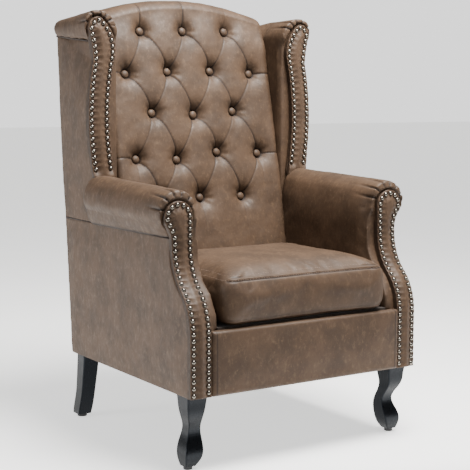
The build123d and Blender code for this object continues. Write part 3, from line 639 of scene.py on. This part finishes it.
def tufted_height(x, v):
    """Height of the padding over the buttons' plane and how much painted shade each point takes along the
    creases and round the buttons.
    """
    padding = settings()[1]
    rise = padding.tuft_rise / MM
    rng = np.random.default_rng(5)
    height = np.full(x.shape, rise)
    fold_shade = np.zeros(x.shape)
    for ax, av, bx, bv, strength, fades, bow in crease_lines():
        dx, dv = bx - ax, bv - av
        length = math.hypot(dx, dv)
        share = np.clip(((x - ax) * dx + (v - av) * dv) / length ** 2, 0, 1)
        aside = bow * rng.uniform(0.6, 1.3) * np.sin(share * math.pi) / length
        distance = np.hypot(x - ax - share * dx - aside * dv, v - av - share * dv + aside * dx)
        ends = 1 - share if fades else np.abs(2 * share - 1) ** 2
        if abs(dx) > 1.2 * abs(dv) or bv <= 60:
            ends = 0.5 + 0.5 * (1 - share)
        strength *= rng.uniform(0.85, 1.15)
        deep = (2.2 + 4.0 * ends) * strength
        if fades:
            deep = 5.0 * strength * (1 - share) ** 0.8
        height -= 0.8 * deep * np.exp(-np.abs(distance) / CREASE_WIDTH)
        height -= strength * np.exp(-(distance / VALLEY_WIDTH) ** 2) * ((1 - share) if fades else 1)
        # Painted shade along the creases.
        fold_shade = np.maximum(fold_shade, np.exp(-(distance / CREASE_SHADE) ** 2) * np.clip(deep / 3, 0, 1))
    for bx, bv, _, _ in button_spots():
        distance = np.hypot(x - bx, v - bv)
        angle = np.arctan2(v - bv, x - bx)
        reach = padding.dimple / MM * rng.uniform(0.92, 1.1)
        height -= rise * (1 + (distance / reach) ** 2) ** -1.5
        count = int(rng.integers(6, 9))
        ripple = np.cos(count * angle + rng.uniform(0, 6))
        ripple = ripple + 0.6 * np.cos((count + 3) * angle + rng.uniform(0, 6))
        height += 0.4 * ripple * np.exp(-((distance - 23) / 10) ** 2)
        # Painted shade in the dimple round each button.
        fold_shade = np.maximum(fold_shade, steps(distance, 17, 11))
    return np.maximum(height, -1.0), fold_shade


def make_back():
    """Tufted inside back: one sheet up the face, over the arched top and down to the outer back."""
    shape = bmesh.new()
    bmesh.ops.create_grid(shape, x_segments=256, y_segments=450, size=0.5)
    piece = new_object("tufted_back", shape)
    flat = points_of(piece.data)
    share, climb = flat[:, 0] + 0.5, flat[:, 1] + 0.5
    x = (2 * share - 1) * BACK_HALF
    top = ARCH_Z + np.sqrt(ARCH_RADIUS ** 2 - x ** 2)
    edge_v = tuft_v(top - FACE_END)
    v = np.minimum(climb / FACE_SHARE, 1) * edge_v
    height, fold_shade = tufted_height(x, v)
    height -= LEAN_DEPTH * steps(v, edge_v - LEAN_HEIGHT, edge_v) ** 1.5
    tuck = np.clip(1 - (BACK_HALF - np.abs(x)) / TUCK_WIDTH, 0, 1)
    height -= TUCK_DEPTH * (1 - np.sqrt(np.clip(1 - tuck ** 2, 0, 1)))
    y = TUFT_FOOT_Y + v * math.sin(TUFT_RAKE) - height * math.cos(TUFT_RAKE)
    z = SEAT_Z + v * math.cos(TUFT_RAKE) + height * math.sin(TUFT_RAKE)
    over = np.clip((climb - FACE_SHARE) / (1 - FACE_SHARE), 0, 1)
    first = np.clip(over / ROUNDING_SHARE, 0, 1) * math.pi / 2
    last = np.clip((over - 1 + REAR_SHARE) / REAR_SHARE, 0, 1) * math.pi / 2
    flat_share = np.clip((over - ROUNDING_SHARE) / FLAT_SHARE, 0, 1)
    rear = REAR_FOOT_Y + (top - REAR_BELOW - BODY_BOTTOM) * REAR_SLOPE
    lift = top - z
    crown = y + CROWN_REACH + (rear - REAR_REACH - y - CROWN_REACH) * flat_share
    leaned = lift * np.sin(first) * math.tan(TUFT_RAKE) * np.cos(first)
    rounded = y + CROWN_REACH * (1 - np.cos(first)) + leaned
    going_over = over > 0
    y = np.where(going_over, np.where(flat_share > 0, crown, rounded) + REAR_REACH * np.sin(last), y)
    z = np.where(going_over, z + lift * np.sin(first) - REAR_DROP * (1 - np.cos(last)), z)
    places = np.stack([x, y, z], axis=1) * MM
    move_points(piece.data, places)
    shape = bmesh.new()
    shape.from_mesh(piece.data)
    bmesh.ops.recalc_face_normals(shape, faces=shape.faces)
    shape.to_mesh(piece.data)
    shape.free()
    if normals_of(piece.data)[:, 1].mean() > 0:
        piece.data.flip_normals()
    facing = normals_of(piece.data)
    move = 1.3 * rolling(places, 0.055, 11) + 0.45 * rolling(places, 0.018, 12)
    move_points(piece.data, places + facing * move[:, None] * MM)
    # Painted shade on the face only, not over the top.
    mark_painted_shade(piece.data, fold_shade * (1 - over))
    cover(piece, ("inside_back",))


def make_buttons():
    """Leather-covered buttons set in the dimples."""
    shape = bmesh.new()
    out = Vector((0, -math.cos(TUFT_RAKE), math.sin(TUFT_RAKE)))
    size = Matrix.Diagonal((*(half * MM for half in BUTTON_HALF), 1))
    turn = out.to_track_quat("Z", "Y").to_matrix().to_4x4()
    for x, v, _, _ in button_spots():
        centre = Vector((x, TUFT_FOOT_Y + v * math.sin(TUFT_RAKE), SEAT_Z + v * math.cos(TUFT_RAKE)))
        place = Matrix.Translation((centre + out * BUTTON_PROUD) * MM) @ turn
        bmesh.ops.create_uvsphere(shape, u_segments=40, v_segments=20, radius=1, matrix=place @ size)
    piece = new_object("leather_buttons", shape)
    cover(piece, ("back_buttons",))


# Arms
def mirrored(piece, name):
    """Copy of a right-hand piece on the left."""
    shape = bmesh.new()
    shape.from_mesh(piece.data)
    bmesh.ops.scale(shape, verts=shape.verts, vec=(-1, 1, 1))
    bmesh.ops.reverse_faces(shape, faces=shape.faces)
    bmesh.ops.recalc_face_normals(shape, faces=shape.faces)
    return new_object(name, shape)


def both_sides(piece, base):
    """The right-hand piece and its mirrored copy, with the side's name and sign."""
    piece.name = base + "_right"
    return (("right", 1, piece), ("left", -1, mirrored(piece, base + "_left")))


def make_arms():
    """Scroll arms: inflated pads, pleated round their fronts, full under the roll, with painted shade in the
    pleats, along the seam under the roll and along the rear rim.
    """
    padding = settings()[1]
    piece = new_object("arm", cad_shape("right_arm_pad"))
    volume, area = volume_and_area(piece.data)
    remesh(piece, padding.voxel)
    inflate(piece, 2 * MM, 5 * MM)
    relax(piece, 2)
    divide(piece)
    refill(piece, volume + area * 1.2 * MM)
    for side, sign, arm in both_sides(piece, "arm"):
        places, facing = points_of(arm.data), normals_of(arm.data)
        across, height = np.abs(places[:, 0]) / MM - ROLL_X, places[:, 2] / MM - ROLL_Z
        behind = places[:, 1] / MM - (FRONT_Y + sweep(places[:, 2] / MM) + FACING_THICK)
        angle, radius = np.degrees(np.arctan2(height, across)), np.hypot(across, height)
        pleats = gathers(angle, radius, behind, ARM_PLEATS, sign * 3, 0.08)
        pleats *= steps(radius, 26, 38) * steps(places[:, 2] / MM, ARM_BASE, ARM_BASE + 12)
        move = 1.4 * rolling(places, 0.08, 20 + sign) + 0.6 * rolling(places, 0.03, 30 + sign)
        move -= pleats * padding.pleat / MM
        run = WING_FACING_Y + FACING_THICK - FRONT_Y
        band = UNDER_ROLL + ARM_RISE * np.clip((places[:, 1] / MM - FRONT_Y) / run, 0, 1)
        climb = (places[:, 2] / MM - ARM_BASE) / band
        foot = HALF_WIDTH + 5
        lack = foot + (ROLL_REACH - foot) * np.clip(climb, 0, 1) ** 0.6 - np.abs(places[:, 0]) / MM
        under = (across > 0) & (climb < 1) & (climb > -0.05)
        places[:, 0] += sign * np.where(under, np.clip(lack, 0, 20) * steps(behind, -2, 30), 0) * MM
        swell_rim(places, behind, side + "_arm_facing", ARM_BASE + 15)
        # Painted shade: the leather darkens in the pleats, along the seam under the roll and along the rear
        # rim where the pad meets the wing.
        seam = np.exp(-((places[:, 2] / MM - ARM_BASE) / SEAM_SHADE) ** 2) * (across > 0)
        rear = steps(places[:, 1] / MM, WING_FACING_Y + 1, WING_FACING_Y + 7) * (across > 5)
        move_points(arm.data, places + facing * move[:, None] * MM)
        mark_painted_shade(arm.data, np.maximum(pleats, np.maximum(seam, rear * steps(radius, 22, 32)) * 0.9))
        cover(arm, (side + "_arm_pad",))


# Wings
def make_wings():
    """Wings: inflated pads with a roll over the top, gathered behind the facing's head."""
    padding = settings()[1]
    piece = new_object("wing", cad_shape("right_wing_pad"))
    volume, area = volume_and_area(piece.data)
    remesh(piece, padding.voxel * 0.8)
    inflate(piece, 1.5 * MM, 4 * MM)
    relax(piece, 1)
    divide(piece)
    refill(piece, volume + area * 1.2 * MM)
    for side, sign, wing in both_sides(piece, "wing"):
        places, facing = points_of(wing.data), normals_of(wing.data)
        across, height = np.abs(places[:, 0]) / MM - WING_ROLL_X, places[:, 2] / MM - WING_ROLL_Z
        behind = places[:, 1] / MM - WING_FACING_Y - FACING_THICK
        angle, radius = np.degrees(np.arctan2(height, across)), np.hypot(across, height)
        pleats = gathers(angle, radius, behind, WING_PLEATS, sign * 4, 0)
        pleats *= steps(places[:, 2] / MM, WING_ROLL_LOW + 10, WING_ROLL_LOW + 30)
        move = 1.3 * rolling(places, 0.07, 40 + sign) + 0.5 * rolling(places, 0.025, 50 + sign)
        move -= pleats * padding.pleat / MM * 0.8
        swell_rim(places, behind, side + "_wing_facing", WING_ROLL_LOW)
        move_points(wing.data, places + facing * move[:, None] * MM)
        # Painted shade in the pleats behind the facing's head.
        mark_painted_shade(wing.data, pleats)
        cover(wing, (side + "_wing_pad",))


# Facings and panels
def make_facings():
    """Arm and wing facings: leather swelling between the rows of nails, and a set-back edge sheet behind
    each, darkened halfway with painted shade.
    """
    puff = settings()[1].facing_puff / MM
    for node, nails, base in (("right_arm_facing", "right_arm_nails", "arm_facing"),
                              ("right_wing_facing", "right_wing_nails", "wing_facing")):
        shape = cad_shape(node)
        if base == "wing_facing":
            foot = [corner for corner in shape.verts if corner.co.z < FACING_FOOT_Z * MM]
            bmesh.ops.translate(shape, verts=foot, vec=(0, 0, -FACING_FOOT_DROP * MM))
        piece = new_object(base, shape)
        volume = volume_and_area(piece.data)[0]
        remesh(piece, 1.9 * MM)
        relax(piece, 2)
        refill(piece, volume)
        heads = centres(nails)
        for side, sign, facing_piece in both_sides(piece, base):
            places, facing = points_of(facing_piece.data), normals_of(facing_piece.data)
            own = [Vector((sign * head.x, head.y, head.z)) for head in heads]
            distance = nearest_distance(own, places) / MM
            forward = np.clip(-facing[:, 1], 0, 1)
            middle = steps(distance, 5, 19)
            wave = 0.5 * rolling(places, 0.02, 60 + sign)
            move = puff * middle + wave * middle - NAIL_SINK * steps(distance, 10, 6)
            places[:, 1] -= move * forward * MM
            move_points(facing_piece.data, places)
            # Painted shade: a dark ring round each nail head, and darker leather on the facing's sides, away
            # from the front.
            nail_shade_rings = 0.7 * steps(distance, NAIL_SHADE_OUT, NAIL_SHADE_IN)
            mark_painted_shade(facing_piece.data, 0.6 * (1 - steps(forward, 0.1, 0.7)) + nail_shade_rings)
            cover(facing_piece, (side + "_" + node[6:],))
            # Painted shade: a copy of the facing's edge, set back behind it and darkened halfway, fills the
            # gap between facing and pad.
            edge = cad_shape(side + "_" + node[6:])
            bmesh.ops.translate(edge, verts=edge.verts, vec=(0, EDGE_SHEET_SETBACK * MM, 0))
            edge_shade_sheet = new_object(base + "_edge_" + side, edge, smooth=False)
            mark_painted_shade(edge_shade_sheet.data, np.full(len(edge_shade_sheet.data.vertices), 0.5))
            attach(edge_shade_sheet, "frame")


def panel(node, name, voxel, outward, swell, waves, seed):
    """Leather drawn over a flat panel, with soft edges; the wings' go deeper and the apron's wider."""
    shape = cad_shape(node)
    if "wing" in name:
        inner = [corner for corner in shape.verts if abs(corner.co.x) < (HALF_WIDTH - 4.5) * MM]
        bmesh.ops.translate(shape, verts=inner, vec=Vector(outward) * -WING_PANEL_TUCK * MM)
    if node == "apron":
        for corner in shape.verts:
            if abs(corner.co.x) > APRON_END_X * MM:
                corner.co.x += math.copysign(APRON_OVERLAP * MM, corner.co.x)
    piece = new_object(name, shape)
    volume = volume_and_area(piece.data)[0]
    remesh(piece, voxel)
    relax(piece, 2)
    refill(piece, volume)
    places, facing = points_of(piece.data), normals_of(piece.data)
    out = np.clip(facing @ np.array(outward), 0, 1)
    low, high = places.min(axis=0), places.max(axis=0)
    inside = np.full(len(places), 999.0)
    for axis in (1, 2) if abs(outward[0]) > 0.5 else (0, 2):
        edge = np.minimum(places[:, axis] - low[axis], high[axis] - places[:, axis])
        inside = np.minimum(inside, edge / MM)
    move = (swell * steps(inside, 0, 60) + waves * rolling(places, 0.11, seed) * steps(inside, 0, 25)
            + 0.3 * rolling(places, 0.03, seed + 1))
    move_points(piece.data, places + np.outer(move * out * MM, outward))
    # Painted shade: a dark line along the seam on each side of the apron.
    if node == "apron":
        mark_painted_shade(piece.data, np.exp(-((np.abs(places[:, 0]) / MM - APRON_SEAM_X) / 1.5) ** 2))
    cover(piece, (node,))


def make_panels():
    """Outer arms, outer wings, outer back and apron."""
    for side, sign in SIDES.items():
        panel(side + "_side_panel", "outer_arm_" + side, 2.6 * MM, (sign, 0, 0), 3.0, 1.4, 70 + sign)
        panel(side + "_wing_panel", "outer_wing_" + side, 2.6 * MM, (sign, 0, 0), 1.5, 1.0, 80 + sign)
    panel("back_panel", "outer_back", 3.6 * MM, (0, math.cos(REAR_RAKE), -math.sin(REAR_RAKE)), 3.0, 1.5, 90)
    panel("apron", "seat_apron", 2.4 * MM, (0, -1, 0), 2.0, 1.6, 95)


def welt(shape, start, end, radius):
    """Straight round cord between two points in millimetres."""
    start, end = Vector(start) * MM, Vector(end) * MM
    place = Matrix.Translation((start + end) / 2) @ (end - start).to_track_quat("Z", "Y").to_matrix().to_4x4()
    bmesh.ops.create_cone(shape, cap_ends=True, segments=16, radius1=radius * MM, radius2=radius * MM,
                          depth=(end - start).length, matrix=place)


def make_welts():
    """Leather-covered cords in the seams under the arm and wing rolls and between the outer panels, darkened
    with painted shade.
    """
    front = WING_FACING_Y + FACING_THICK
    for side, sign in SIDES.items():
        shape = bmesh.new()
        for outside, start, end, radius in (
                (HALF_WIDTH + 0.6, (FRONT_Y + ARM_SWEEP + 12, ARM_BASE - 1.5), (front, ARM_BASE - 1.5), 2.3),
                (HALF_WIDTH - 2.6, (front, ARM_BASE), (284, ARM_BASE), 2.4),
                (HALF_WIDTH - 3.2, (front, WING_ROLL_LOW), (324, WING_ROLL_LOW + 20), 2.8)):
            welt(shape, (sign * outside, *start), (sign * outside, *end), radius)
        piece = new_object("welts_" + side, shape)
        # Painted shade: the whole cord is darkened to read as the shaded seam line.
        mark_painted_shade(piece.data, np.full(len(piece.data.vertices), 0.8))
        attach(piece, "frame")


# Wood, metal and hidden layers
def finish_hardware():
    """Gives every CAD node that still shows its finish."""
    by_slot = {"leg_wood": "lacquer", "frame_wood": "wood", "nail_metal": "nickel", "steel": "steel",
               "glide_plastic": "plastic", "padding": "decking_and_gap_shade", "board": "board", "cloth": "black_cloth",
               "cover": "leather"}
    for part in frame["record"]["subparts"]:
        node = frame["nodes"][part["node"]]
        if not node.hide_render:
            node.data.materials.clear()
            node.data.materials.append(finish(by_slot[part["material_slot"]]))


# Stage, in metres: where the lights and the camera stand and what they look at
KEY_PLACE, KEY_TARGET, KEY_SIZE = (0.3, -0.65, 2.4), (0, 0, 0.6), 1.3
SIDE_PLACE, SIDE_TARGET, SIDE_SIZE = (-2.7, 0.5, 0.6), (-0.3, 0, 0.5), 1.2
CAMERA_PLACE, CAMERA_TARGET = (-1.547, -2.415, 0.789), (0.0006, -0.015, 0.466)
FLOOR_SIZE, FLOOR_FRONT, FLOOR_DIM_FROM, FLOOR_DIM_TO = 30, (-0.3, -0.95, 0), 0.38, 0.85
HORIZON_TOP, SKY_BOTTOM = 0.08, 0.14


def soft_light(name, place, target, size, power, colour):
    """Area light aimed at a target."""
    data = bpy.data.lights.new(name, "AREA")
    data.shape, data.size, data.energy, data.color = "DISK", size, power, colour
    light = bpy.data.objects.new(name, data)
    bpy.context.scene.collection.objects.link(light)
    light.location = place
    light.rotation_euler = (Vector(target) - Vector(place)).to_track_quat("-Z", "Y").to_euler()


def make_stage():
    """Pale floor that glows with painted light, dimmer in front of the chair, soft studio light and the
    photograph's point of view.
    """
    stage = settings()[2]
    shape = bmesh.new()
    bmesh.ops.create_grid(shape, x_segments=1, y_segments=1, size=FLOOR_SIZE)
    floor = bpy.data.objects.new("floor", bpy.data.meshes.new("floor"))
    shape.to_mesh(floor.data)
    shape.free()
    material, tree, shader = new_material("pale_painted_floor", Roughness=0.7)
    place = add_node(tree, "ShaderNodeTexCoord").outputs["Object"]
    cloud = noise_at(tree, place, 400 * MM)
    forward = add_node(tree, "ShaderNodeVectorMath", {1: FLOOR_FRONT}, {0: place},
                       operation="DOT_PRODUCT").outputs["Value"]
    paint = mixed(tree, cloud, linear("#F5F5F3"), linear(stage.floor))
    # Painted light: the floor emits its own paint colour, weaker in front of the chair.
    tree.links.new(paint, shader.inputs["Emission Color"])
    dimming = stepped(tree, forward, FLOOR_DIM_FROM, FLOOR_DIM_TO)
    tree.links.new(mixed(tree, dimming, paint, linear("#808080")), shader.inputs["Base Color"])
    painted_glow = stepped(tree, forward, FLOOR_DIM_FROM, FLOOR_DIM_TO, stage.painted_glow, stage.painted_glow / 4)
    tree.links.new(painted_glow, shader.inputs["Emission Strength"])
    floor.data.materials.append(material)
    bpy.context.scene.collection.objects.link(floor)
    world = bpy.context.scene.world or bpy.data.worlds.new("studio")
    bpy.context.scene.world = world
    world.use_nodes = True
    background = world.node_tree.nodes["Background"]
    background.inputs["Color"].default_value = (1, 1, 1, 1)
    direction = add_node(world.node_tree, "ShaderNodeTexCoord").outputs["Generated"]
    height = add_node(world.node_tree, "ShaderNodeSeparateXYZ", links={"Vector": direction}).outputs["Z"]
    strength = stepped(world.node_tree, height, HORIZON_TOP, SKY_BOTTOM, stage.horizon, stage.sky)
    world.node_tree.links.new(strength, background.inputs["Strength"])
    soft_light("key", KEY_PLACE, KEY_TARGET, KEY_SIZE, stage.key, (1, 0.98, 0.96))
    soft_light("side", SIDE_PLACE, SIDE_TARGET, SIDE_SIZE, stage.side, (0.97, 0.98, 1))
    data = bpy.data.cameras.new("camera")
    data.lens = stage.lens
    camera = bpy.data.objects.new("camera", data)
    bpy.context.scene.collection.objects.link(camera)
    camera.location = CAMERA_PLACE
    camera.rotation_euler = (Vector(CAMERA_TARGET) - camera.location).to_track_quat("-Z", "Y").to_euler()
    bpy.context.scene.camera = camera


# Operators
class ARMCHAIR_OT_cushion(bpy.types.Operator):
    """Builds the box cushion and its stitches"""

    bl_idname = "armchair.cushion"
    bl_label = "Seat Cushion"
    bl_options = {"REGISTER", "UNDO"}

    def execute(self, context):
        make_cushion()
        return {"FINISHED"}


class ARMCHAIR_OT_back(bpy.types.Operator):
    """Builds the tufted inside back and its buttons"""

    bl_idname = "armchair.back"
    bl_label = "Tufted Back"
    bl_options = {"REGISTER", "UNDO"}

    def execute(self, context):
        make_back()
        make_buttons()
        return {"FINISHED"}


class ARMCHAIR_OT_arms(bpy.types.Operator):
    """Builds both scroll arms"""

    bl_idname = "armchair.arms"
    bl_label = "Arms"
    bl_options = {"REGISTER", "UNDO"}

    def execute(self, context):
        make_arms()
        return {"FINISHED"}


class ARMCHAIR_OT_wings(bpy.types.Operator):
    """Builds both wings"""

    bl_idname = "armchair.wings"
    bl_label = "Wings"
    bl_options = {"REGISTER", "UNDO"}

    def execute(self, context):
        make_wings()
        return {"FINISHED"}


class ARMCHAIR_OT_facings(bpy.types.Operator):
    """Builds the nailed facings of the arms and wings"""

    bl_idname = "armchair.facings"
    bl_label = "Facings"
    bl_options = {"REGISTER", "UNDO"}

    def execute(self, context):
        make_facings()
        return {"FINISHED"}


class ARMCHAIR_OT_panels(bpy.types.Operator):
    """Builds the flat outer covers and the apron"""

    bl_idname = "armchair.panels"
    bl_label = "Outer Panels"
    bl_options = {"REGISTER", "UNDO"}

    def execute(self, context):
        make_panels()
        make_welts()
        return {"FINISHED"}


class ARMCHAIR_OT_hardware(bpy.types.Operator):
    """Finishes the legs, nails and hidden frame"""

    bl_idname = "armchair.hardware"
    bl_label = "Legs, Nails and Frame"
    bl_options = {"REGISTER", "UNDO"}

    def execute(self, context):
        finish_hardware()
        return {"FINISHED"}


class ARMCHAIR_OT_stage(bpy.types.Operator):
    """Sets the floor, the light and the camera"""

    bl_idname = "armchair.stage"
    bl_label = "Stage"
    bl_options = {"REGISTER", "UNDO"}

    def execute(self, context):
        make_stage()
        return {"FINISHED"}


STEPS = ("cushion", "back", "arms", "wings", "facings", "panels", "hardware", "stage")


class ARMCHAIR_PT_panel(bpy.types.Panel):
    """The chair's settings and steps"""

    bl_idname = "ARMCHAIR_PT_panel"
    bl_label = "Wingback Armchair"
    bl_space_type = "VIEW_3D"
    bl_region_type = "UI"
    bl_category = "Armchair"

    def draw(self, context):
        for group in settings():
            box = self.layout.box()
            for name in group.bl_rna.properties.keys()[2:]:
                box.prop(group, name)
        for step in STEPS:
            self.layout.operator("armchair." + step)


CLASSES = (LeatherSettings, PaddingSettings, StageSettings, ARMCHAIR_OT_cushion, ARMCHAIR_OT_back,
           ARMCHAIR_OT_arms, ARMCHAIR_OT_wings, ARMCHAIR_OT_facings, ARMCHAIR_OT_panels,
           ARMCHAIR_OT_hardware, ARMCHAIR_OT_stage, ARMCHAIR_PT_panel)


def register():
    for item in CLASSES:
        bpy.utils.register_class(item)
    bpy.types.Scene.armchair_leather = PointerProperty(type=LeatherSettings)
    bpy.types.Scene.armchair_padding = PointerProperty(type=PaddingSettings)
    bpy.types.Scene.armchair_stage = PointerProperty(type=StageSettings)


def unregister():
    del bpy.types.Scene.armchair_stage
    del bpy.types.Scene.armchair_padding
    del bpy.types.Scene.armchair_leather
    for item in reversed(CLASSES):
        bpy.utils.unregister_class(item)


def main():
    """Builds the chair."""
    register()
    for step in STEPS:
        getattr(bpy.ops.armchair, step)()
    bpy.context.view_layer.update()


if __name__ == "__main__":
    main()
